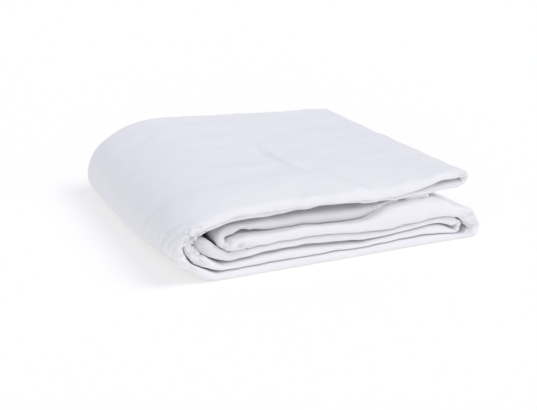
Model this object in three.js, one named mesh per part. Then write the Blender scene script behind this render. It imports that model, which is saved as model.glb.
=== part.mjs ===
// A cotton flat sheet, folded to a nearly square bundle and lying on a surface.
//
// The sheet is about 2.7 m wide and 2.5 m long. It is folded in half three times across its width,
// which makes a long strip of eight plies with soft closed edges at the front. The strip is then
// folded in half three times along its length, so that it lies back and forth in eight layers.
// Each layer here is the eight plies together. Four folds nest inside each other on the left. On the
// right one fold closes the upper flap, two nest in the lower layers, and both hemmed ends lie open.
//
// Sizes are in millimetres. X runs along the front, Y from the front to the back, and Z is up.

import * as THREE from "three";

// A table written as lines of text: the first line names the columns, and the first column the rows.
function table(head, ...lines) {
  const names = head.split(/ +/).slice(1);
  return Object.fromEntries(
    lines.map((line) => {
      const [name, ...values] = line.split(/ +/);
      return [name, Object.fromEntries(names.map((key, i) => [key, Number(values[i])]))];
    }),
  );
}

const DEPTH = 335; // front edge to back edge, an eighth of the sheet's width
const AIR = 1.3; // gap between neighbouring layers
const FREE_END = 252; // where the sheet's hemmed ends lie, measured from the front left corner
const EDGE_ROUNDING = 0.45; // share of a layer's thickness that is left right at its soft edges

const PRESSED_FLAT = 0.3; // what comes nearer to the floor than this lies flat on it
const SLOT_SHARE = 0.87; // how much of the room inside a fold the cloth fills
const FRONT_SLOPE = 62; // how far back the layers sink towards their front edges
const SINK_CHANGE = [225, 312]; // between these the sinking goes from its left to its right value
const SHOULDER = 100; // left of this X the layers dip towards their folds
const SHOULDER_DIP = 0.25; // dip at X = 0 as a share of a layer's height
const RIGHT_DIP_START = 285; // right of this X the lower layers dip towards their folds
const RIGHT_DIP_END = 345;
const RIPPLE_FADE = 150; // how far back the ripples of the front edges reach
const LEFT_AREA = 60; // up to this X the other left values of the tables hold
const RIGHT_AREA = 330; // and from this X on the right values

// The layers from the floor up. top: height of the upper face in the middle of the stack.
// sinkLeft and sinkRight: how much lower that face lies at the front. ripple, length and crest: the wave of
// that face along the front. frontLeft and frontRight: how far the front edge lies behind the foremost one.
// back: how far the back edge lies before the rearmost one. rightDip: share of its height that the face
// has lost at X = RIGHT_DIP_END.
const LAYERS = table(
  "name    top   sinkLeft sinkRight ripple length crest frontLeft frontRight back rightDip",
  "eighth  10.2  0.2      0.2       0.5    150    115   0         1          3    0",
  "seventh 20.4  1.6      1.6       2.4    168    134   1         3          6    0.5",
  "sixth   30.6  2.4      2.8       2.6    216    122   2         3          2    0.7",
  "fifth   41.0  3.0      3.6       1.6    230    110   0         0          5    0.375",
  "fourth  51.3  4.4      4.4       1.0    190    100   18        30         8    0",
  "third   61.5  6.7      2.0       1.0    200    120   45        40         4    0",
  "second  71.8  9.0      0.0       1.0    220    120   9         3          7    0",
  "first   82.5  8.2      0.0       0.8    260    120   0         0          0    0",
);
const ORDER = Object.keys(LAYERS);

// Height of the whole stack against the table above, at the four corners.
const SWELL = { frontLeft: 1.0, frontRight: 0.957, backLeft: 1.06, backRight: 0.88 };

// The folds in the order in which the strip runs through them, each named after the layer it leaves and
// the one it enters. side: -1 for the left and 1 for the right. x and z: where the middle of the cloth
// turns, at the front (0), halfway (1) and at the back (2); neighbouring layers turn at the gap between
// them, with no z. above and below: how far the bend stretches along the upper and the lower layer.
// round: shape of the upper bend, and of the lower one at the front and at the back, where 2 is an
// ellipse and less is flatter. squeeze: share of the thickness that is lost at the turn.
const FOLDS = table(
  "name           side x0    x1    x2   z0 z1 z2 above below round roundFront roundBack squeeze",
  "third-sixth    -1   23    22.5  28   44 37 36 64    32    1.95  1.4        1.8       0.36",
  "sixth-seventh  1    328   328   328  0  0  0  6     6     2     2          2         0.3",
  "seventh-second -1   9.5   10.5  16.5 40 29 28 82    36    2.08  1.4        2         0.3",
  "second-first   1    334.5 335.5 338  0  0  0  7     7     2     2          2         0.3",
  "first-eighth   -1   -1    -0.5  6.5  35 22 20 95    41    2.25  1.4        2.5       0.14",
  "eighth-fifth   1    348.5 349   348  11 15 16 24    15    1.8   2          2         0.2",
  "fifth-fourth   -1   47    47    51   0  0  0  9     9     2     2          2         0.3",
);

// Steps along a straight part, along the depth and in the smallest bend, and length of a bend's step.
const STEPS = { run: 10, depth: 12, leastBend: 4, bend: 10.5 };

const smooth = (t) => {
  const c = Math.min(1, Math.max(0, t));
  return c * c * (3 - 2 * c);
};
const mix = (a, b, t) => a + (b - a) * t;
// A curve through three values, at the front, halfway and at the back.
const through = ([a, b, c], t) => a + (4 * b - 3 * a - c) * t + 2 * (a + c - 2 * b) * t * t;
const across = (x) => (x - LEFT_AREA) / (RIGHT_AREA - LEFT_AREA);

// Height of a layer's upper face. The floor is the face under the lowest layer.
function face(index, x, y) {
  if (index < 0) return 0;
  const { top, sinkLeft, sinkRight, ripple, length, crest, rightDip } = LAYERS[ORDER[index]];
  const right = Math.min(1.1, Math.max(0, across(x)));
  const back = y / DEPTH;
  const swell = mix(
    mix(SWELL.frontLeft, SWELL.frontRight, right),
    mix(SWELL.backLeft, SWELL.backRight, right),
    smooth(back),
  );
  const front = Math.max(0, 1 - y / FRONT_SLOPE) ** 2;
  const sink = mix(sinkLeft, sinkRight, smooth((x - SINK_CHANGE[0]) / (SINK_CHANGE[1] - SINK_CHANGE[0])));
  const wave = Math.cos((2 * Math.PI * (x - crest)) / length);
  const fade = 1 - 0.8 * smooth(y / RIPPLE_FADE);
  const leftDip = SHOULDER_DIP * Math.max(0, 1 - x / SHOULDER) ** 2;
  const nearEnd = Math.max(0, (x - RIGHT_DIP_START) / (RIGHT_DIP_END - RIGHT_DIP_START));
  const dip = 1 - leftDip - rightDip * nearEnd ** 2;
  return top * swell * dip - sink * front + ripple * wave * fade;
}

// Middle height and thickness of a layer.
function layerAt(name, x, y) {
  const index = ORDER.indexOf(name);
  const above = face(index, x, y);
  const below = face(index - 1, x, y);
  const lift = index === 0 ? 0 : AIR / 2; // the lowest layer lies flat on the floor
  return { z: (above + below - AIR / 2 + lift) / 2, thick: above - below - AIR / 2 - lift };
}

const frontEdge = (name, x) => mix(LAYERS[name].frontLeft, LAYERS[name].frontRight, smooth(across(x)));
const backEdge = (name) => DEPTH - LAYERS[name].back;

// Y of a point of the strip at share t of the way from its front edge to its back edge.
const depthAt = (front, back, t) => mix(front, back, (1 - Math.cos(Math.PI * t)) / 2);

const layersOf = (foldName) => foldName.split("-");
const otherLayer = (foldName, name) => layersOf(foldName).find((layer) => layer !== name);
const isUpper = (foldName, name) => ORDER.indexOf(name) > ORDER.indexOf(otherLayer(foldName, name));
const reachOf = (foldName, name) => FOLDS[foldName][isUpper(foldName, name) ? "above" : "below"];

function turningPoint(foldName, y) {
  const { side, x0, x1, x2, z0, z1, z2, above } = FOLDS[foldName];
  const x = through([x0, x1, x2], y / DEPTH);
  const lower = Math.min(...layersOf(foldName).map((layer) => ORDER.indexOf(layer)));
  const z = z0 ? through([z0, z1, z2], y / DEPTH) : face(lower, x - side * above, y) + AIR / 2;
  return { x, z };
}

// X at which the straight part of a layer meets its fold, at depth y.
const runEnd = (foldName, name, y) =>
  turningPoint(foldName, y).x - FOLDS[foldName].side * reachOf(foldName, name);

// A column of the strip gives, at share t of its depth, where the middle of the cloth is and how thick
// it is. This one is in the straight part of a layer, at share u of the way between its two ends.
function runColumn(name, startFold, endFold, u) {
  return (t) => {
    const at = (y) => {
      const a = startFold ? runEnd(startFold, name, y) : FREE_END;
      const b = endFold ? runEnd(endFold, name, y) : FREE_END;
      return mix(a, b, u);
    };
    const y = depthAt(frontEdge(name, at(DEPTH * t)), backEdge(name), t);
    const x = at(y);
    return { x, y, ...layerAt(name, x, y) };
  };
}

// This one is in a fold, at share u of the way from a layer's straight part to the turning point.
function bendColumn(foldName, name, u) {
  const { side, round, roundFront, roundBack, squeeze } = FOLDS[foldName];
  const other = otherLayer(foldName, name);
  const angle = (u * Math.PI) / 2;
  return (t) => {
    const near = frontEdge(name, runEnd(foldName, name, DEPTH * t));
    const far = frontEdge(other, runEnd(foldName, other, DEPTH * t));
    const back = mix(backEdge(name), backEdge(other), smooth(u / 2));
    const y = depthAt(mix(near, far, smooth(u / 2)), back, t);
    const start = runEnd(foldName, name, y);
    const tip = turningPoint(foldName, y);
    const layer = layerAt(name, start, y);
    const thickThere = layerAt(other, runEnd(foldName, other, y), y).thick;
    const lowerRound = mix(roundFront, roundBack, smooth((2 * y) / DEPTH));
    const power = 2 / (isUpper(foldName, name) ? round : lowerRound);
    return {
      x: start + side * reachOf(foldName, name) * Math.sin(angle) ** power,
      y,
      z: tip.z + (layer.z - tip.z) * Math.max(0, Math.cos(angle)) ** power,
      thick: mix(layer.thick, (layer.thick + thickThere) / 2, u) * (1 - squeeze * smooth(2 * u)),
      turn: u < 1 ? tip.z : undefined, // height of the turn, past which the cloth inside can't reach
    };
  };
}

// The whole strip as columns, from one hemmed end to the other.
function stripColumns() {
  const folds = Object.keys(FOLDS);
  const order = [...folds.map((fold) => layersOf(fold)[0]), layersOf(folds.at(-1))[1]];
  return order.flatMap((name, i) => {
    const columns = [];
    for (let k = 0; k <= STEPS.run; k += 1) {
      const share = mix(k / STEPS.run, smooth(k / STEPS.run), 0.5); // closer together near the folds
      columns.push(runColumn(name, folds[i - 1], folds[i], share));
    }
    if (i === folds.length) return columns;
    const bendSteps = (layer) =>
      Math.max(STEPS.leastBend, Math.round(reachOf(folds[i], layer) / STEPS.bend));
    const leaving = bendSteps(name);
    for (let k = 1; k <= leaving; k += 1) columns.push(bendColumn(folds[i], name, k / leaving));
    const next = order[i + 1];
    const arriving = bendSteps(next);
    for (let k = arriving - 1; k > 0; k -= 1) columns.push(bendColumn(folds[i], next, k / arriving));
    return columns;
  });
}

// The strip starts as a flat box, and each of its points is then moved to where it lies in the bundle.
function foldedStrip() {
  const columns = stripColumns();
  const last = columns.length - 1;
  const box = new THREE.BoxGeometry(last, 1, STEPS.depth, last, 1, STEPS.depth);
  const place = box.getAttribute("position");
  const middles = columns.map((column) =>
    Array.from({ length: STEPS.depth + 1 }, (_, j) => column(j / STEPS.depth)),
  );
  for (let n = 0; n < place.count; n += 1) {
    const i = Math.round(place.getX(n) + last / 2);
    const j = Math.round(STEPS.depth / 2 - place.getZ(n));
    const here = middles[i][j];
    const before = middles[Math.max(0, i - 1)][j];
    const after = middles[Math.min(last, i + 1)][j];
    const along = new THREE.Vector2(after.x - before.x, after.z - before.z).normalize();
    const soft = j === 0 || j === STEPS.depth ? EDGE_ROUNDING : 1;
    const side = Math.sign(place.getY(n));
    const inside = here.turn !== undefined && along.x * side * (here.turn - here.z) > 0;
    const limit = inside ? (Math.abs(here.turn - here.z) * SLOT_SHARE) / Math.abs(along.x) : Infinity;
    const offset = side * Math.min(here.thick / 2, limit) * soft;
    const z = here.z + along.x * offset;
    place.setXYZ(n, here.x - along.y * offset, here.y, z < PRESSED_FLAT ? 0 : z);
  }
  return box;
}

const cloth = foldedStrip();
cloth.deleteAttribute("normal");
cloth.deleteAttribute("uv");
cloth.computeBoundingBox();
const middle = cloth.boundingBox.getCenter(new THREE.Vector3());
cloth.translate(-middle.x, -middle.y, -cloth.boundingBox.min.z);

const cotton = new THREE.MeshStandardMaterial({ color: 0xf1f1f5, roughness: 0.9, metalness: 0 });
const sheet = new THREE.Mesh(cloth, cotton);
sheet.name = "folded_sheet";

const bundle = new THREE.Group();
bundle.add(sheet);
export default bundle;
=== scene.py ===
import math

import bpy
import numpy as np
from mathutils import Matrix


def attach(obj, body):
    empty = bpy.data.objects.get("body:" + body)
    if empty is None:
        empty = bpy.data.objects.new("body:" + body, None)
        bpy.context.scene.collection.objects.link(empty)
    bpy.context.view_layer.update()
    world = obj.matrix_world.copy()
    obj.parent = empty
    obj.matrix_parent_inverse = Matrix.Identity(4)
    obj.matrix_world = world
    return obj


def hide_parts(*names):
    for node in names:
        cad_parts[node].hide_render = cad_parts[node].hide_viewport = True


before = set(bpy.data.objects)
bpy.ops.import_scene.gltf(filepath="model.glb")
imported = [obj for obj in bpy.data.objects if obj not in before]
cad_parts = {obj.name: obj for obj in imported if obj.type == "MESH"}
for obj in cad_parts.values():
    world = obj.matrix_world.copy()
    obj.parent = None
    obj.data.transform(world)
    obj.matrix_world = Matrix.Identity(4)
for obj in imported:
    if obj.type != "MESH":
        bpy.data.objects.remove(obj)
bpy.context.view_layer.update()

# Sizes are in millimetres from the front left corner of the bundle, and become metres at the end.
DEPTH = 335
AIR = 1.3  # between two layers
FREE_ENDS = {"third": 290, "fourth": 254}  # where the two hemmed ends lie
SAG_START = 246  # from here on the third layer sinks onto the fifth
SAG_END = 12  # it lies on the fifth from this far before its own end
LEAST_THICKNESS = {"third": 3, "fourth": 2}  # however little room there is above the fifth layer
SLOT_SHARE = 0.87  # how much of the room inside a fold its inner plies may fill
FRONT_SLOPE = 62  # the layers sink towards the front over this depth
SINK_CHANGE = (225, 312)  # where the sinking changes from its value on the left to that on the right
SHOULDER = 100  # the layers dip towards the left over this width
SHOULDER_DIP = 0.25  # by this share of their height
RIGHT_DIP = (285, 345)  # from where they dip to the right, and where by as much as the table says
RIPPLE_FADE = 150  # how far behind the front the ripples have faded
RIPPLE_FADED = 0.8  # by this share
LEFT_AREA = 60  # where the values for the left side hold
RIGHT_AREA = 330  # where those for the right side hold
PRESSED_FLAT = 0.3  # cloth that is lower than this lies on the floor
MIDDLE = (173.7513, 167.5)  # the middle of the bundle, which is the origin of the frame
FILL = 0.8  # how much of the air between two layers the soft cloth takes up
METRES = 0.001


def table(head, *lines):
    """Rows of named values: the first line names the columns, and the first column the rows."""
    names = head.split()[1:]
    rows = {}
    for line in lines:
        name, *values = line.split()
        rows[name] = dict(zip(names, map(float, values)))
    return rows


# The layers from the lowest up: height of the upper face, how far it sinks at the front, height, length
# and one crest of its ripples, how far the layer lies behind the bundle's front and ahead of its back, and
# the share of its height that it dips by at the right.
LAYERS = table(
    "name    top   sinkLeft sinkRight ripple length crest frontLeft frontRight back rightDip",
    "eighth  10.2  0.2      0.2       0.5    150    115   0         1          3    0",
    "seventh 20.4  1.6      1.6       2.4    168    134   1         3          6    0.5",
    "sixth   30.6  2.4      2.8       2.6    216    122   3.5       4.5        2    0.7",
    "fifth   41.0  3.0      3.6       1.6    230    110   0         0          5    0.375",
    "fourth  51.3  4.4      4.4       1.0    190    100   13        14         8    0",
    "third   61.5  6.7      2.0       1.0    200    120   45        22         4    0",
    "second  71.8  9.0      0.0       1.0    220    120   9         7          7    0",
    "first   82.5  8.2      0.0       0.8    260    120   0         0          0    0",
)
ORDER = list(LAYERS)

# How the gap above a layer runs at the front: how much higher than the table above says, and how much
# it gapes, both in millimetres at these places along the front.
FRONT_PLACES = (40, 55, 70, 85, 100, 120, 140, 160, 180, 200, 220, 240, 260, 280, 300, 320, 340)
FRONT_TRIM = {
    "eighth": (
        *(0, -0.4, -0.8, -0.9, -1.1, -0.9, -0.6, -0.5, 0.1),
        *(-0.6, -0.9, -0.6, 0.3, -0.1, -0.8, -2.9, -3.0),
    ),
    "seventh": (0, 0, 0, 0.3, -0.2, -1.1, -1.8, -2.1, -1.2, -1.9, -1.5, -1.3, -0.7, -0.6, 0.3, -4.0, -3.5),
    "sixth": (0, 0, 0, -0.9, -0.8, -0.8, -0.6, -0.6, 0, -0.7, -1.3, -2.0, -0.4, -0.6, 0.6, 3.4, 2.5),
    "fifth": (0.8, 1.2, 2.6, 1.2, -0.5, 0.2, -0.4, -1.6, -1.4, -0.6, 0.4, 1.2, 1.5, 0.8, 0, 0, 0),
    "fourth": (2.4, 3.4, 4.2, 3.4, 3.8, 3.2, 3.4, 3.0, 3.4, 3.4, 3.6, 3.2, 1.6, 0, 0, 0, 0),
    "third": (-0.9, -1.0, 0.2, -0.2, 0.2, 1.4, 1.6, 2.4, 2.2, 2.6, 1.6, 0.8, -0.6, -1.6, -1.8, -0.8, 0),
    "second": (0, 0, 0.4, 0, -0.3, 0, 0.3, 0, -0.3, -0.6, -1.2, -1.6, -2.2, -2.6, -2.4, -1.4, 0),
}
FRONT_GAPE = {
    "eighth": (1.2, 0.4, 0, 0.2, 0.1, 0.1, 0, 0.1, 0.2, 0, 0.1, 0, 0.3, 0.2, 0.1, 0.1, 0),
    "seventh": (1.6, 1.2, 2.8, 2.2, 3.0, 2.0, 3.2, 2.4, 3.4, 3.0, 0.6, 0.4, 0.8, 0.5, 1.8, 3.0, 1.0),
    "sixth": (0.2, 0.6, 0.5, 0.4, 0.8, 0.3, 0.6, 0.4, 0.3, 0.6, 1.2, 0.5, 0.3, 0.4, 0.3, 0.2, 0),
    "fifth": (1.8, 2.0, 6.0, 5.2, 1.2, 0.6, 0.4, 0.9, 1.1, 0.6, 0.9, 0.4, 0, 0, 0, 0, 0),
    "fourth": (0, 0, 0, 0, 0, 0, 0, 0, 0, 0, 0, 0, 0, 0, 0, 0, 0),
    "third": (0.6, 0.2, 0.3, 0.4, 0.1, 0.9, 1.3, 1.2, 0.9, 0.3, 0.1, 0.4, 0.6, 0.5, 0.3, 0.2, 0),
    "second": (0, 0, 0, 0, 0.2, 0, 0, 0.1, 0, 0.3, 0.2, 0.6, 1.0, 3.5, 5.6, 5.2, 2.2),
}
TRIM_REACH = 42  # how far behind the front edge a trim is felt
GAPE_REACH = 14  # the same for a gape

# The fifth layer's upper side rises towards its front edge, by this much over this depth.
FRONT_RISE = {"height": 5.4, "depth": 24, "power": 1.5}
# From where the hemmed ends lie it also swells up under the flap: how high, where along the front it
# rises and falls, and where behind the front it rises and ends.
BILLOW = {"height": 13, "rises": (208, 252), "falls": (292, 338), "behind": (-12, 16), "ends": (230, 320)}
END_FORWARD = {"third": (13, (236, 272))}  # how far and where a hemmed end lies further forward

# How many times as high as the table of layers says they lie towards the bundle's corners.
SWELL = {"frontLeft": 1.0, "frontRight": 0.957, "backLeft": 1.06, "backRight": 0.88}

# The folds along the strip, from one hemmed end to the other. side is -1 on the left. x and z, at the
# front, middle and back, are those of the outermost point, in the middle of the eight plies, and z is 0
# where it lies in the air between the two layers. above and below say how far before that point the upper
# and the lower layer begin to bend. The rounds are those of the upper half, and of the lower half at the
# front and the back: 2 is an ellipse, and more is squarer. squeeze is the share by which the cloth thins.
FOLDS = table(
    "name           side x0    x1    x2   z0 z1 z2 above below round roundFront roundBack squeeze",
    "third-sixth    -1   23    22.5  28   44 37 36 64    32    1.95  1.4        1.8       0.36",
    "sixth-seventh  1    328   328   328  0  0  0  6     6     2     2          2         0.3",
    "seventh-second -1   9.5   10.5  16.5 40 29 28 82    36    2.08  1.4        2         0.3",
    "second-first   1    334.5 335.5 338  0  0  0  7     7     2     2          2         0.3",
    "first-eighth   -1   -1    -0.5  6.5  35 22 20 95    41    2.25  1.4        2.5       0.14",
    "eighth-fifth   1    346   349   348  11 15 16 24    15    1.8   2          2         0.2",
    "fifth-fourth   -1   47    47    51   0  0  0  9     9     2     2          2         0.3",
)

# How much fuller than in the middle of the bundle the folds are at the front, in millimetres of thickness
# along their upper and lower half.
PLUMP = table(
    "name           above below",
    "third-sixth    4.5   11.5",
    "sixth-seventh  0.5   0.5",
    "seventh-second 3.5   8.0",
    "second-first   0.5   0.5",
    "first-eighth   0.6   0.2",
    "eighth-fifth   9.0   9.0",
    "fifth-fourth   1.5   1.5",
)
PLUMP_REACH = 45  # how far behind the front this is felt

# How many times as long as TURNS says the rounding of a layer's front edge is.
ROUNDER = {"fifth": 1.5, "first": 1.3, "fourth": 1.3}

# How many steps of the cloth lie along each layer, and along each fold on either side of its turn.
RUN_STEPS = {
    "third": 32,
    "sixth": 42,
    "seventh": 42,
    "second": 42,
    "first": 110,
    "eighth": 44,
    "fifth": 56,
    "fourth": 34,
}
BEND_STEPS = {"least": 4, "length": 2.5}
RUN_CROWDING = 0.3  # the steps are closer by this share at the ends of a layer

# The plies of a layer, from the outside of the roll of layers (-0.5) to its inside (0.5).
PLIES = table(
    "name  place steps",
    "1     -0.5  60",
    "2     -0.34 6",
    "3     -0.21 6",
    "4     -0.07 6",
    "5     0.07  6",
    "6     0.21  6",
    "7     0.34  6",
    "8     0.5   20",
)
# Across the width the cloth runs through the plies in this order. Each turn has its end, how far it lies
# behind the layer's edge, how long it is, and its number of steps.
TURNS = table(
    "name atBack behind reach steps",
    "3-6  0      2.9    2.6   4",
    "6-7  1      1.8    1.2   4",
    "7-2  0      1.4    3.9   5",
    "2-1  1      0.6    1.4   5",
    "1-8  0      0      5.2   12",
    "8-5  1      0      2.6   6",
    "5-4  0      4.2    1.6   4",
)
TURN_SQUARENESS = 0.78  # 1 is an ellipse, and less is squarer
# The plies' rows of points are closer together at the front: powers of the share of the depth, for plies
# with fewer steps than FEW_STEPS and for the others.
ROW_POWERS = {"few": 1.6, "many": 1.25}
FEW_STEPS = 10
EDGES_AHEAD = (2.0, 1.2)  # how far the first and the last side edge lie ahead of the layer's back edge

# Widths that the stitches mark. The turned cloth itself comes out 27 and 30 mm wide at the ends. At the
# sides it is about 81 mm wide, as the row of points meant for its edge lies 11.8 mm from the side.
SIDE_HEM = 12
END_HEM = 25
HEM_THICKNESS = 0.7


def smooth(t):
    """0 up to t = 0, 1 from t = 1 on, and an even passage between them."""
    c = np.clip(t, 0, 1)
    return c * c * (3 - 2 * c)


def mix(a, b, t):
    return a + (b - a) * t


def span(value, ends):
    """0 at the first of the two ends, and 1 at the second."""
    return (value - ends[0]) / (ends[1] - ends[0])


def through(a, b, c, t):
    """Value at t of the parabola that is a at 0, b at a half and c at 1."""
    return a + (4 * b - 3 * a - c) * t + 2 * (a + c - 2 * b) * t * t


def across(x):
    """0 where the left side's values hold, and 1 where the right side's do."""
    return span(x, (LEFT_AREA, RIGHT_AREA))


def face(index, x, y):
    """Height of a layer's upper face. The floor is the face under the lowest layer."""
    if index < 0:
        return np.zeros_like(x + y)
    row = LAYERS[ORDER[index]]
    right = np.clip(across(x), 0, 1.1)
    back = y / DEPTH
    swell = mix(
        mix(SWELL["frontLeft"], SWELL["frontRight"], right),
        mix(SWELL["backLeft"], SWELL["backRight"], right),
        smooth(back),
    )
    front = np.maximum(0, 1 - y / FRONT_SLOPE) ** 2
    sink = mix(row["sinkLeft"], row["sinkRight"], smooth(span(x, SINK_CHANGE)))
    wave = np.cos(2 * math.pi * (x - row["crest"]) / row["length"])
    fade = 1 - RIPPLE_FADED * smooth(y / RIPPLE_FADE)
    left_dip = SHOULDER_DIP * np.maximum(0, 1 - x / SHOULDER) ** 2
    near_end = np.maximum(0, span(x, RIGHT_DIP))
    dip = 1 - left_dip - row["rightDip"] * near_end**2
    return row["top"] * swell * dip - sink * front + row["ripple"] * wave * fade


def front_edge(name, x):
    row = LAYERS[name]
    forward, ends = END_FORWARD.get(name, (0, (0, 1)))
    return mix(row["frontLeft"], row["frontRight"], smooth(across(x))) - forward * smooth(span(x, ends))


def along_front(values, x):
    """A value given at the places of FRONT_PLACES, evened out between them."""
    places = np.arange(0.0, 380.0, 1.0)
    line = np.interp(places, FRONT_PLACES, values)
    kernel = np.exp(-((np.arange(-8, 9) / 4.0) ** 2))
    padded = np.pad(line, 8, mode="edge")
    return np.interp(x, places, np.convolve(padded, kernel / kernel.sum(), "valid"))


def layer_at(name, x, y):
    """Middle height and thickness of a layer."""
    index = ORDER.index(name)
    above = face(index, x, y)
    below = face(index - 1, x, y)
    inward = np.maximum(0, y - front_edge(name, x))
    if name == "fifth":
        nearness = np.clip(1 - y / FRONT_RISE["depth"], 0, 1)
        above = above + FRONT_RISE["height"] * nearness ** FRONT_RISE["power"]
        rise = smooth(span(x, BILLOW["rises"])) * (1 - smooth(span(x, BILLOW["falls"])))
        rise = rise * smooth(span(y, BILLOW["behind"])) * (1 - smooth(span(y, BILLOW["ends"])))
        above = above + BILLOW["height"] * rise
    for k, side in ((index, "above"), (index - 1, "below")):
        if k < 0 or ORDER[k] not in FRONT_TRIM:
            continue
        trim = along_front(FRONT_TRIM[ORDER[k]], x) * np.exp(-((inward / TRIM_REACH) ** 2))
        gape = along_front(FRONT_GAPE[ORDER[k]], x) * np.exp(-((inward / GAPE_REACH) ** 2)) / 2
        if side == "above":
            above = above + trim - gape
        else:
            below = below + trim + gape
    lift = 0 if index == 0 else AIR / 2
    middle, thick = (above + below - AIR / 2 + lift) / 2, above - below - AIR / 2 - lift
    if name == "third":
        upper, lower = layer_at("second", x, y), layer_at("fifth", x, y)
        floor_here = lower[0] + lower[1] / 2 + AIR / 2
        ceiling = upper[0] - upper[1] / 2 - AIR / 2
        squeezed = np.minimum(thick, np.maximum(LEAST_THICKNESS[name], ceiling - floor_here))
        sagging = smooth(span(x, (SAG_START, FREE_ENDS[name] - SAG_END)))
        middle = mix(middle, floor_here + squeezed / 2, sagging)
        thick = mix(thick, squeezed, sagging)
    if name == "fourth":
        lower = layer_at("fifth", x, y)
        sunk = np.maximum(0, lower[0] + lower[1] / 2 + AIR / 2 - (middle - thick / 2))
        cut = np.minimum(sunk, np.maximum(0, thick - LEAST_THICKNESS[name]))
        middle, thick = middle + sunk - cut / 2, thick - cut
    return middle, thick


def back_edge(name):
    return DEPTH - LAYERS[name]["back"]


def layers_of(fold):
    return fold.split("-")


def other_layer(fold, name):
    return next(layer for layer in layers_of(fold) if layer != name)


def is_upper(fold, name):
    return ORDER.index(name) > ORDER.index(other_layer(fold, name))


def reach_of(fold, name):
    return FOLDS[fold]["above" if is_upper(fold, name) else "below"]


def turning_point(fold, y):
    row = FOLDS[fold]
    x = through(row["x0"], row["x1"], row["x2"], y / DEPTH)
    lower = min(ORDER.index(layer) for layer in layers_of(fold))
    if row["z0"]:
        return x, through(row["z0"], row["z1"], row["z2"], y / DEPTH)
    return x, face(lower, x - row["side"] * row["above"], y) + AIR / 2


def run_end(fold, name, y):
    if fold is None:
        return np.full_like(y, FREE_ENDS[name])
    return turning_point(fold, y)[0] - FOLDS[fold]["side"] * reach_of(fold, name)


def run_column(name, start_fold, end_fold, u, share, ahead, behind):
    """Middle of the cloth and its thickness, for all rows, at share u along a layer's straight part."""

    def at(y):
        return mix(run_end(start_fold, name, y), run_end(end_fold, name, y), u)

    front = front_edge(name, at(DEPTH * share))
    y = mix(front, back_edge(name), share) + ahead * ROUNDER.get(name, 1) - behind
    x = at(y)
    z, thick = layer_at(name, x, y)
    return x, y, z, thick, np.full_like(y, np.nan)


def bend_column(fold, name, u, share, ahead, behind):
    """The same in a fold, at share u of the way from a layer's straight part to the turning point."""
    row = FOLDS[fold]
    other = other_layer(fold, name)
    angle = u * math.pi / 2
    near = front_edge(name, run_end(fold, name, DEPTH * share))
    far = front_edge(other, run_end(fold, other, DEPTH * share))
    back = mix(back_edge(name), back_edge(other), smooth(u / 2))
    rounder = mix(ROUNDER.get(name, 1), ROUNDER.get(other, 1), smooth(u / 2))
    y = mix(mix(near, far, smooth(u / 2)), back, share) + ahead * rounder - behind
    start = run_end(fold, name, y)
    tip_z = turning_point(fold, y)[1]
    z, thick = layer_at(name, start, y)
    thick_there = layer_at(other, run_end(fold, other, y), y)[1]
    lower_round = mix(row["roundFront"], row["roundBack"], smooth(2 * y / DEPTH))
    power = 2 / (row["round"] if is_upper(fold, name) else lower_round)
    upper = is_upper(fold, name)
    at_turn = (PLUMP[fold]["above"] + PLUMP[fold]["below"]) / 2
    fuller = mix(PLUMP[fold]["above" if upper else "below"] * smooth(1.6 * u), at_turn, smooth(3 * u - 2))
    fuller = fuller * np.exp(-((y / PLUMP_REACH) ** 2))
    return (
        start + row["side"] * reach_of(fold, name) * math.sin(angle) ** power,
        y,
        tip_z + (z - tip_z) * max(0, math.cos(angle)) ** power,
        mix(thick, (thick + thick_there) / 2, u) * (1 - row["squeeze"] * smooth(2 * u)) + fuller,
        tip_z if u < 1 else np.full_like(y, np.nan),
    )


def strip_columns(share, ahead, behind):
    """All columns of the strip, from one hemmed end to the other."""
    folds = list(FOLDS)
    names = [layers_of(fold)[0] for fold in folds] + [layers_of(folds[-1])[1]]
    columns = []
    for i, name in enumerate(names):
        start_fold = folds[i - 1] if i else None
        end_fold = folds[i] if i < len(folds) else None
        steps = RUN_STEPS[name]
        for k in range(steps + 1):
            u = mix(k / steps, smooth(k / steps), RUN_CROWDING)
            columns.append(run_column(name, start_fold, end_fold, u, share, ahead, behind))
        if end_fold is None:
            break
        after = names[i + 1]
        leaving = max(BEND_STEPS["least"], round(reach_of(end_fold, name) / BEND_STEPS["length"]))
        for k in range(1, leaving + 1):
            columns.append(bend_column(end_fold, name, k / leaving, share, ahead, behind))
        arriving = max(BEND_STEPS["least"], round(reach_of(end_fold, after) / BEND_STEPS["length"]))
        for k in range(arriving - 1, 0, -1):
            columns.append(bend_column(end_fold, after, k / arriving, share, ahead, behind))
    return [np.array(values) for values in zip(*columns)]


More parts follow.
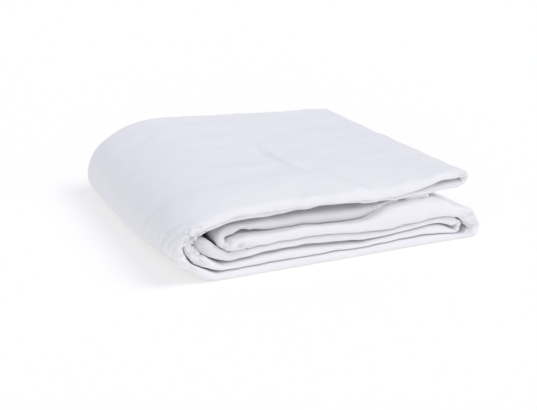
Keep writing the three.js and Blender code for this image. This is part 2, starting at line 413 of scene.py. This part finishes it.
def width_rows():
    """For each row across the width: share of the depth, how far it lies behind the front edge and ahead
    of the back edge there, and its place in the layer."""
    turns = list(TURNS)
    names = [turn.split("-")[0] for turn in turns] + [turns[-1].split("-")[1]]
    rows = []
    room = {}
    for turn, row in TURNS.items():
        for name in turn.split("-"):
            room[name, row["atBack"] > 0] = row["behind"] + row["reach"]
    room.setdefault((names[0], True), EDGES_AHEAD[0])
    room.setdefault((names[-1], True), EDGES_AHEAD[1])
    at_back = True
    for i, name in enumerate(names):
        steps = int(PLIES[name]["steps"])
        for k in range(steps + 1):
            u = 1 - k / steps if at_back else k / steps
            share = u ** ROW_POWERS["few" if steps < FEW_STEPS else "many"]
            ahead = (1 - share) * room[name, False]
            rows.append((share, ahead, share * room[name, True], PLIES[name]["place"]))
            if (i, k) in ((0, 0), (len(names) - 1, steps - 1)):
                near_hem = 1 - SIDE_HEM / DEPTH
                rows.append((near_hem, 0, room[name, True], PLIES[name]["place"]))
        at_back = not at_back
        if i == len(turns):
            break
        turn = TURNS[turns[i]]
        here = PLIES[name]["place"]
        there = PLIES[names[i + 1]]["place"]
        for k in range(1, int(turn["steps"])):
            angle = math.pi * k / turn["steps"]
            swing = math.copysign(abs(math.cos(angle)) ** TURN_SQUARENESS, math.cos(angle))
            place = mix(here, there, (1 - swing) / 2)
            inward = turn["behind"] + turn["reach"] * (1 - math.sin(angle) ** TURN_SQUARENESS)
            if turn["atBack"]:
                rows.append((1, 0, inward, place))
            else:
                rows.append((0, inward, 0, place))
    return np.array(rows).T


def folded_points():
    """Places of the cloth's points, column by column along the strip and row by row across it."""
    share, ahead, behind, place = width_rows()
    x, y, z, thick, turn = strip_columns(share, ahead, behind)
    along_x, along_z = np.gradient(x, axis=0), np.gradient(z, axis=0)
    length = np.hypot(along_x, along_z)
    along_x, along_z = along_x / length, along_z / length
    half = (thick + FILL) / 2
    inside = along_x * np.sign(place) * (turn - z) > 0
    limit = np.abs(turn - z) * SLOT_SHARE / np.maximum(np.abs(along_x), 1e-6)
    half = np.where(inside, np.minimum(half, limit), half)
    offset = 2 * place * half
    points = np.stack([x - along_z * offset, y, z + along_x * offset], -1)
    points[..., 2] = np.where(points[..., 2] < PRESSED_FLAT, 0, points[..., 2])
    return points


def hemmed(points, lengths, width):
    """Adds the hems at the first and the last column: the cloth is turned back on itself there. lengths
    holds the columns' places on the flat sheet, and is given back with those of the hems."""
    across_column = np.gradient(points, axis=0)
    across_row = np.gradient(points, axis=1)
    upward = np.cross(across_column, across_row)
    upward *= HEM_THICKNESS / np.linalg.norm(upward, axis=-1, keepdims=True)
    count = len(lengths)
    borders = []
    for edge, inner in ((0, 1), (count - 1, -1)):
        run = np.abs(lengths - lengths[edge])
        last = max(1, int(np.searchsorted(run if inner > 0 else run[::-1], width)))
        turned = [edge + inner * k for k in range(last, -1, -1)]
        lying = points[turned] + upward[turned]
        outward = points[edge] - points[edge + inner]
        outward *= HEM_THICKNESS / 2 / np.linalg.norm(outward, axis=-1, keepdims=True)
        bend = points[edge] + outward + upward[edge] / 2
        places = np.append(lengths[edge] - inner * run[turned], lengths[edge])
        border = np.concatenate([lying, bend[None]])
        borders.append((border, places) if inner > 0 else (border[::-1], places[::-1]))
    (first, before), (after_last, after) = borders
    return np.concatenate([first, points, after_last]), np.concatenate([before, lengths, after])


def flat_places(points, axis):
    """Where the columns (axis 0) or rows (axis 1) lie on the flat sheet."""
    steps = np.linalg.norm(np.diff(points, axis=axis), axis=-1)
    return np.concatenate([[0], np.cumsum(np.median(steps, axis=1 - axis))])


def cloth_mesh(name, points, lengths, widths):
    index = np.arange(points.shape[0] * points.shape[1]).reshape(points.shape[:2])
    quads = np.stack([index[:-1, :-1], index[:-1, 1:], index[1:, 1:], index[1:, :-1]], -1).reshape(-1, 4)
    mesh = bpy.data.meshes.new(name)
    mesh.from_pydata(points.reshape(-1, 3).tolist(), [], quads.tolist())
    mesh.polygons.foreach_set("use_smooth", [True] * len(quads))
    flat = np.stack(np.meshgrid(lengths, widths, indexing="ij"), -1).reshape(-1, 2)
    layer = mesh.uv_layers.new(name="flat sheet")
    layer.data.foreach_set("uv", flat[quads.reshape(-1)].reshape(-1).astype(np.float32))
    mesh.update()
    return mesh


def lump(points, centre, reach):
    """A soft bell around a point, 1 in its middle."""
    away = (points - np.array(centre)) / np.array(reach)
    return np.exp(-(away**2).sum(-1))


MEAN_WAVE = 0.64  # about the mean of a cosine's size
PINCH = 3


def waves(points, seed, lengths, count=10, pinched=False):
    """Unevenness in all directions, mostly between -1 and 1, with waves of about the given lengths.
    Pinched ones meet in narrow creases, and reach further."""
    draw = np.random.default_rng(seed)
    total = np.zeros(points.shape[:-1])
    for _ in range(count):
        stretch = draw.uniform(0.7, 1.5)
        turn = draw.normal(size=3)
        turn /= np.linalg.norm(turn)
        pace = 2 * math.pi * turn * math.sqrt(3) / (np.array(lengths) * stretch)
        wave = np.cos(points @ pace + draw.uniform(0, 2 * math.pi))
        total += PINCH * (MEAN_WAVE - np.abs(wave)) if pinched else wave
    return total / math.sqrt(count)


# Long soft troughs (below 0) and ridges (above 0) of the top, each through three points seen from above.
# height is in the middle of its length, and width is across it.
TOP_CREASES = table(
    "name      x0  y0  x1  y1  x2  y2  height width lean",
    "diagonal  168 184 164 102 198 36  2.7    9     0.5",
    "valley    159 184 154 106 184 40  -0.9   8     0",
    "onward    170 88  190 42  216 4   -4.4   6     0.5",
    "swelling  162 82  181 36  206 -2  1.4    7     0",
    "short     206 212 220 190 221 160 1.5    6     0.5",
    "bright    196 72  226 72  256 80  1.2    6     0",
    "arc       74  102 110 84  150 90  -1.5   4.5   0",
    "front     24  86  57  71  92  60  -1.3   4.5   0",
    "left      38  258 56  268 76  274 -1.4   6     0",
    "small     36  202 48  205 58  192 -0.9   5     0",
    "lower     10  110 24  122 40  130 -0.9   5     0",
    "rear      266 188 284 155 303 114 1.3    7     0.5",
    "middle    122 132 139 114 149 84  -1.0   5     0",
    "shoulder  196 240 188 210 166 176 -1.0   11    0",
)


CREASE_PLACES = 33  # along its line


def crease(points, row):
    """Height of one crease at each point. lean makes it steeper on its left and gentler on its right, as
    seen from the front."""
    t = np.linspace(0, 1, CREASE_PLACES)[:, None]
    a, b, c = (np.array([row[f"x{k}"], row[f"y{k}"]]) for k in range(3))
    line = (1 - t) * (1 - 2 * t) * a + 4 * t * (1 - t) * b + t * (2 * t - 1) * c
    along = np.gradient(line, axis=0)
    along /= np.linalg.norm(along, axis=1, keepdims=True)
    away = points[..., :2].reshape(-1, 2)[:, None] - line[None]
    gaps = np.hypot(away[..., 0], away[..., 1])
    nearest = gaps.argmin(1)
    every = np.arange(len(nearest))
    toward, offset = along[nearest], away[every, nearest]
    side = np.tanh((toward[:, 0] * offset[:, 1] - toward[:, 1] * offset[:, 0]) / 2)
    fade = np.sin(math.pi * np.clip(t[nearest, 0] * 0.9 + 0.05, 0, 1)) ** 0.7
    reach = row["width"] * (1 + row["lean"] * side)
    height = row["height"] * fade * np.exp(-((gaps[every, nearest] / reach) ** 2))
    return height.reshape(points.shape[:-1])


# Waves of the front edges: how far they move the cloth, and their lengths to the right, back and up.
FRONT_WAVES = table(
    "name    seed amount X  Y  Z",
    "outward 3    0.55   44 60 16",
    "upward  4    0.45   40 60 16",
)
FRONT_WAVES_REACH = 24

# Waves of the upper layers: the same, and between which heights they grow to their full size.
UPPER_WAVES = table(
    "name  seed amount X  Y  Z  none full",
    "broad 5    0.7    90 90 90 10   50",
    "fine  14   0.4    36 44 60 30   70",
)

# Slanting streaks of the left side: length of each wave and where it starts. Then how far they move the
# cloth, how much they slant, between which places they fade in from the right, from below and from above,
# and how far back they reach.
WRAP_STREAKS = ((14, 0.4), (19, 2.0), (31, 4.4))
WRAP = {"amount": 1.3, "slant": 0.8, "right": (34, -10), "low": (4, 24), "high": (78, 58), "reach": 95}

# Crumpled spots: middle, how far they reach, length of their waves, and how far they move the cloth.
CRUMPLES = table(
    "name   x   y  z  reachX reachY reachZ wave depth seed",
    "rim    14  0  54 15     16     13     16   2.0   21",
    "ear    27  0  43 10     14     10     12   2.2   28",
    "finger 20  0  34 20     14     15     17   2.4   22",
    "belly  58  0  31 17     14     9      17   1.9   23",
    "lip    70  13 46 14     14     5      13   2.2   24",
    "corner 344 0  18 17     16     17     22   2.0   25",
    "nose   330 0  72 15     12     9      15   1.6   26",
    "end    288 8  54 14     14     8      18   1.4   27",
)


CRUMPLE_SHARES = (0.4, 1, 0.4)  # how much of a crumple goes sideways, in depth and upwards
CREASED = (35, 75)  # between these heights the creases of the top grow to their full size
OFF_FLOOR = (0, 6)  # between these heights the cloth comes free of the floor


def waves_of(points, row):
    return waves(points, int(row["seed"]), [row[k] for k in "XYZ"])


def settle(points):
    """The cloth's own unevenness: creases of the top, and crumpled edges."""
    moved = points.copy()
    upper = smooth(span(points[..., 2], CREASED))
    for row in TOP_CREASES.values():
        moved[..., 2] += crease(points, row) * upper
    near_front = np.exp(-((points[..., 1] / FRONT_WAVES_REACH) ** 2))
    off_floor = smooth(span(points[..., 2], OFF_FLOOR))
    row = FRONT_WAVES["outward"]
    moved[..., 1] += row["amount"] * near_front * waves_of(points, row)
    row = FRONT_WAVES["upward"]
    moved[..., 2] += row["amount"] * near_front * waves_of(points, row) * off_floor
    for row in CRUMPLES.values():
        seed = int(row["seed"])
        length = row["wave"]
        part = row["depth"] * lump(points, [row[k] for k in "xyz"], [row["reach" + k] for k in "XYZ"])
        for axis, share in enumerate(CRUMPLE_SHARES):
            crumpled = waves(points, 10 * seed + axis, (length, 2 * length, length), 5, True)
            moved[..., axis] += share * part * crumpled
    wrap = smooth(span(points[..., 0], WRAP["right"])) * smooth(span(points[..., 2], WRAP["low"]))
    wrap *= smooth(span(points[..., 2], WRAP["high"])) * np.exp(-((points[..., 1] / WRAP["reach"]) ** 2))
    slant = points[..., 1] + WRAP["slant"] * points[..., 2]
    for length, start in WRAP_STREAKS:
        moved[..., 0] += WRAP["amount"] * wrap * np.cos(2 * math.pi * slant / length + start)
    for row in UPPER_WAVES.values():
        grown = smooth(span(points[..., 2], (row["none"], row["full"])))
        moved[..., 2] += row["amount"] * waves_of(points, row) * grown
    moved[..., 2] = np.maximum(moved[..., 2], 0)
    return moved


points = settle(folded_points())
lengths, widths = flat_places(points, 0), flat_places(points, 1)
points, lengths = hemmed(points, lengths, END_HEM)
turned, widths = hemmed(points.transpose(1, 0, 2), widths, SIDE_HEM)
points = turned.transpose(1, 0, 2)
placed = (points - np.array([*MIDDLE, 0])) * METRES
cloth = cloth_mesh("folded_cloth", placed, lengths * METRES, widths * METRES)
sheet = bpy.data.objects.new("folded_cloth", cloth)
bpy.context.collection.objects.link(sheet)

cotton = bpy.data.materials.new("white cotton")
cotton.use_nodes = True
nodes, links = cotton.node_tree.nodes, cotton.node_tree.links
shader = nodes["Principled BSDF"]
shader.inputs["Roughness"].default_value = 0.88
shader.inputs["Specular IOR Level"].default_value = 0.25
shader.inputs["Sheen Weight"].default_value = 0.12
shader.inputs["Sheen Roughness"].default_value = 0.5


def maths(operation, a, b=None):
    """A sum on two values, each a number or another node's output."""
    node = nodes.new("ShaderNodeMath")
    node.operation = operation
    for socket, value in zip(node.inputs, (a, b)):
        if isinstance(value, bpy.types.NodeSocket):
            links.new(value, socket)
        elif value is not None:
            socket.default_value = value
    return node.outputs[0]


# The weave: fine threads both ways, with a little unevenness.
flat_sheet = nodes.new("ShaderNodeUVMap")
flat_sheet.uv_map = "flat sheet"
parts = nodes.new("ShaderNodeSeparateXYZ")
links.new(flat_sheet.outputs["UV"], parts.inputs[0])
THREAD_SCALE = 1400
ALONG_THREAD = 0.08  # how much slower a thread changes along than across
threads = []
for stretch in ((1, ALONG_THREAD), (ALONG_THREAD, 1)):
    mapping = nodes.new("ShaderNodeMapping")
    mapping.inputs["Scale"].default_value = (*stretch, 1)
    links.new(flat_sheet.outputs["UV"], mapping.inputs["Vector"])
    noise = nodes.new("ShaderNodeTexNoise")
    noise.inputs["Scale"].default_value = THREAD_SCALE
    noise.inputs["Detail"].default_value = 1
    links.new(mapping.outputs["Vector"], noise.inputs["Vector"])
    threads.append(noise.outputs["Fac"])
weave = maths("ADD", *threads)

# Stitches of the hems, about 2.4 mm long, 2 mm nearer to the edge than the hems are wide. In metres.
STITCH_INSET = 0.002
STITCH_HALF_WIDTH = 0.0004
STITCH_PITCH = 0.0033
STITCH_SHARE = 0.72  # of the pitch
SHEET_LENGTH = float(lengths.max() + lengths.min()) / 1000
SHEET_WIDTH = float(widths.max() + widths.min()) / 1000
lines = []
for place, other, length, width in (
    (parts.outputs["X"], parts.outputs["Y"], SHEET_LENGTH, END_HEM),
    (parts.outputs["Y"], parts.outputs["X"], SHEET_WIDTH, SIDE_HEM),
):
    half = length / 2
    from_edge = maths("SUBTRACT", half, maths("ABSOLUTE", maths("SUBTRACT", place, half)))
    line_place = width * METRES - STITCH_INSET
    off_line = maths("ABSOLUTE", maths("SUBTRACT", maths("ABSOLUTE", from_edge), line_place))
    on_line = maths("LESS_THAN", off_line, STITCH_HALF_WIDTH)
    on_stitch = maths("LESS_THAN", maths("FRACT", maths("DIVIDE", other, STITCH_PITCH)), STITCH_SHARE)
    lines.append(maths("MULTIPLY", on_line, on_stitch))
stitches = maths("MAXIMUM", *lines)

# The colour: faintly cloudy, and darker on the stitches.
position = nodes.new("ShaderNodeTexCoord")
cloudy = nodes.new("ShaderNodeTexNoise")
cloudy.inputs["Scale"].default_value = 9
cloudy.inputs["Detail"].default_value = 3
links.new(position.outputs["Object"], cloudy.inputs["Vector"])
shade = nodes.new("ShaderNodeMix")
shade.data_type = "RGBA"
links.new(cloudy.outputs["Fac"], shade.inputs["Factor"])
shade.inputs["A"].default_value = (0.82, 0.812, 0.83, 1)
shade.inputs["B"].default_value = (0.85, 0.84, 0.855, 1)
sewn = nodes.new("ShaderNodeMix")
sewn.data_type = "RGBA"
links.new(stitches, sewn.inputs["Factor"])
links.new(shade.outputs["Result"], sewn.inputs["A"])
sewn.inputs["B"].default_value = (0.70, 0.69, 0.72, 1)
links.new(sewn.outputs["Result"], shader.inputs["Base Color"])
bump = nodes.new("ShaderNodeBump")
bump.inputs["Strength"].default_value = 0.35
bump.inputs["Distance"].default_value = 0.0003
links.new(maths("ADD", weave, stitches), bump.inputs["Height"])
links.new(bump.outputs["Normal"], shader.inputs["Normal"])
sheet.data.materials.append(cotton)

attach(sheet, "root")
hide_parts("folded_sheet")

# Pale floor, a hair below the cloth.
FLOOR_HALF = 6
FLOOR_Z = -0.0003
corners = [(x * FLOOR_HALF, y * FLOOR_HALF, FLOOR_Z) for x, y in ((-1, -1), (1, -1), (1, 1), (-1, 1))]
floor_mesh = bpy.data.meshes.new("floor")
floor_mesh.from_pydata(corners, [], [(0, 1, 2, 3)])
floor = bpy.data.objects.new("floor", floor_mesh)
bpy.context.collection.objects.link(floor)
pale = bpy.data.materials.new("pale floor")
pale.use_nodes = True
floor_shader = pale.node_tree.nodes["Principled BSDF"]
floor_shader.inputs["Base Color"].default_value = (0.745, 0.737, 0.705, 1)
floor_shader.inputs["Emission Color"].default_value = (1, 1, 1, 1)
floor_shader.inputs["Emission Strength"].default_value = 0.3
floor_shader.inputs["Roughness"].default_value = 0.9
floor_mesh.materials.append(pale)

# Soft studio light: even light from all round, a wide light from the right and a weaker one from the
# front left. A bearing of 0 is the front, and more is further to the right. angle is the width of the
# light, in degrees like the others. A warmth of 1 is white, and less is warmer.
world = bpy.data.worlds.new("studio")
bpy.context.scene.world = world
world.use_nodes = True
world.node_tree.nodes["Background"].inputs["Color"].default_value = (0.88, 0.90, 1.0, 1)
world.node_tree.nodes["Background"].inputs["Strength"].default_value = 0.75
bpy.context.scene.view_settings.view_transform = "Standard"
LIGHTS = table(
    "name strength angle height bearing warmth",
    "key  0.95     35    50     60      0.95",
    "fill 0.42     45    18     -28     1.0",
)
for light_name, row in LIGHTS.items():
    light = bpy.data.lights.new(light_name, "SUN")
    light.energy = row["strength"]
    light.angle = math.radians(row["angle"])
    light.color = (1.0, (1 + row["warmth"]) / 2, row["warmth"])
    lamp = bpy.data.objects.new(light_name, light)
    lamp.rotation_euler = (math.radians(90 - row["height"]), 0, math.radians(row["bearing"]))
    bpy.context.collection.objects.link(lamp)

# The camera stands where the photo's stood, tilted down and turned to the right by these degrees.
CAMERA_TILT = 18.74
CAMERA_TURN = 24.65
camera_data = bpy.data.cameras.new("camera")
camera_data.lens = 77.1
camera_data.sensor_width = 36
camera = bpy.data.objects.new("camera", camera_data)
camera.location = (-0.53508, -1.16156, 0.44419)
camera.rotation_euler = (math.radians(90 - CAMERA_TILT), 0, math.radians(-CAMERA_TURN))
bpy.context.collection.objects.link(camera)
bpy.context.scene.camera = camera
